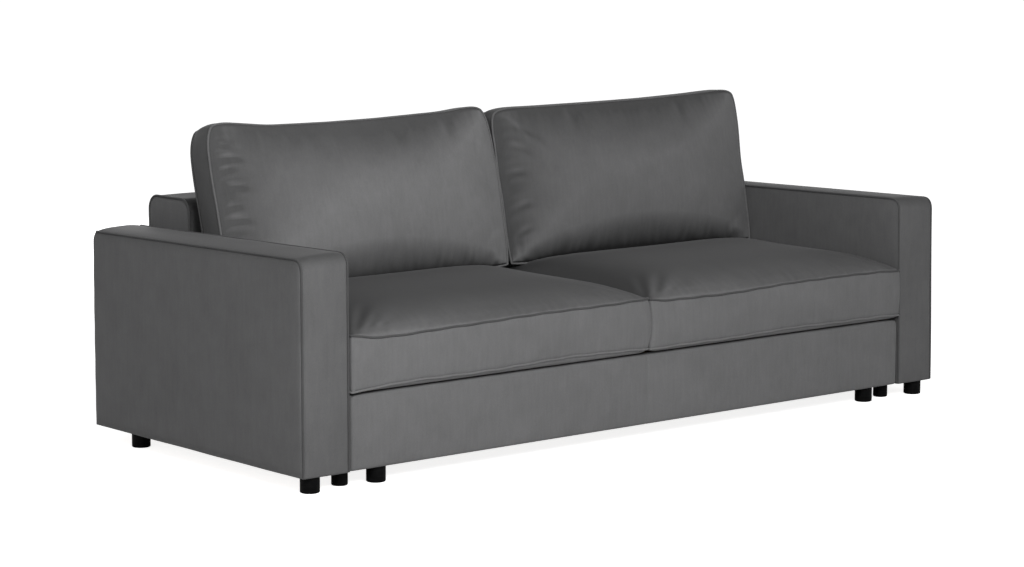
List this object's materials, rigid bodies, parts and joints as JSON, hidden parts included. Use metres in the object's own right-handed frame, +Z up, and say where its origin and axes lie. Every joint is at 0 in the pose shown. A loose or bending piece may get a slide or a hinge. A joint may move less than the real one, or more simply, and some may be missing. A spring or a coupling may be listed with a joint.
{
  "type": "sleeper sofa",
  "caption": "Upholstered sofa with box arms, loose seat and back cushions, and a seat carriage that pulls forward on interleaved slats to make a bed.",
  "frame": {"origin": "middle of the footprint, on the floor", "axes": "+X to the viewer's right along the seat, +Y to the rear, +Z up; the front faces -Y"},
  "size_m": [2.3, 0.967, 0.8756],
  "materials": {
    "velvet": "short-pile dark grey velvet with welted seams",
    "chipboard": "raw chipboard",
    "pine": "planed pine, unvarnished",
    "black_plastic": "moulded black plastic, slightly glossy",
    "nylon": "natural white nylon",
    "steel": "zinc-plated steel"
  },
  "bodies": {
    "carcass": {"arm_left_cover": "velvet", "arm_left_frame": "chipboard", "arm_left_base_board": "chipboard", "arm_left_front_foot": "black_plastic", "arm_left_rear_foot": "black_plastic", "arm_right_cover": "velvet", "arm_right_frame": "chipboard", "arm_right_base_board": "chipboard", "arm_right_front_foot": "black_plastic", "arm_right_rear_foot": "black_plastic", "back_block_cover": "velvet", "back_block_frame": "chipboard", "back_block_base_board": "chipboard", "back_block_centre_foot": "black_plastic", "side_rail_left": "pine", "side_rail_right": "pine", "side_rail_left_foot": "black_plastic", "side_rail_right_foot": "black_plastic", "roller_track_left": "pine", "roller_track_right": "pine", "arm_bolt_left_front": "steel", "arm_bolt_left_rear": "steel", "arm_bolt_right_front": "steel", "arm_bolt_right_rear": "steel", "fixed_front_beam": "pine", "fixed_rear_rail": "pine", "fixed_slat_1": "pine", "fixed_slat_2": "pine", "fixed_slat_3": "pine", "fixed_slat_4": "pine", "fixed_slat_5": "pine", "fixed_slat_6": "pine", "fixed_slat_7": "pine"},
    "carriage": {"front_panel_cover": "velvet", "front_panel_board": "chipboard", "front_panel_foot_left": "black_plastic", "front_panel_foot_right": "black_plastic", "corner_block_left": "pine", "corner_block_right": "pine", "carriage_side_left": "pine", "carriage_side_right": "pine", "carriage_front_rail": "pine", "carriage_rear_rail": "pine", "moving_slat_1": "pine", "moving_slat_2": "pine", "moving_slat_3": "pine", "moving_slat_4": "pine", "moving_slat_5": "pine", "moving_slat_6": "pine", "moving_slat_7": "pine", "moving_slat_8": "pine", "roller_axle_left": "steel", "roller_axle_right": "steel"},
    "left_roller": {"roller_left": "nylon"},
    "right_roller": {"roller_right": "nylon"},
    "left_seat": {"seat_cushion_left": "velvet"},
    "right_seat": {"seat_cushion_right": "velvet"},
    "left_back": {"back_cushion_left": "velvet"},
    "right_back": {"back_cushion_right": "velvet"}
  },
  "joints": [
    {"name": "pull_out", "type": "slide", "parent": "carcass", "child": "carriage", "axis": [0, -1, 0], "range_m": [0, 0.46]},
    {"name": "left_roller_spin", "type": "hinge", "parent": "carriage", "child": "left_roller", "pos_m": [-0.9504, 0.1162, 0.1023], "axis": [1, 0, 0], "continuous": true},
    {"name": "right_roller_spin", "type": "hinge", "parent": "carriage", "child": "right_roller", "pos_m": [0.9504, 0.1162, 0.1023], "axis": [1, 0, 0], "continuous": true},
    {"name": "left_seat_lift", "type": "slide", "parent": "carriage", "child": "left_seat", "axis": [0, 0, 1], "range_m": [0, 0.36]},
    {"name": "right_seat_lift", "type": "slide", "parent": "carriage", "child": "right_seat", "axis": [0, 0, 1], "range_m": [0, 0.36]},
    {"name": "left_back_lift", "type": "slide", "parent": "left_seat", "child": "left_back", "axis": [0, 0, 1], "range_m": [0, 0.3]},
    {"name": "right_back_lift", "type": "slide", "parent": "right_seat", "child": "right_back", "axis": [0, 0, 1], "range_m": [0, 0.3]}
  ],
  "couplings": [
    {"joint": "left_roller_spin", "follows": "pull_out", "rad_per_m": 50},
    {"joint": "right_roller_spin", "follows": "pull_out", "rad_per_m": 50}
  ]
}
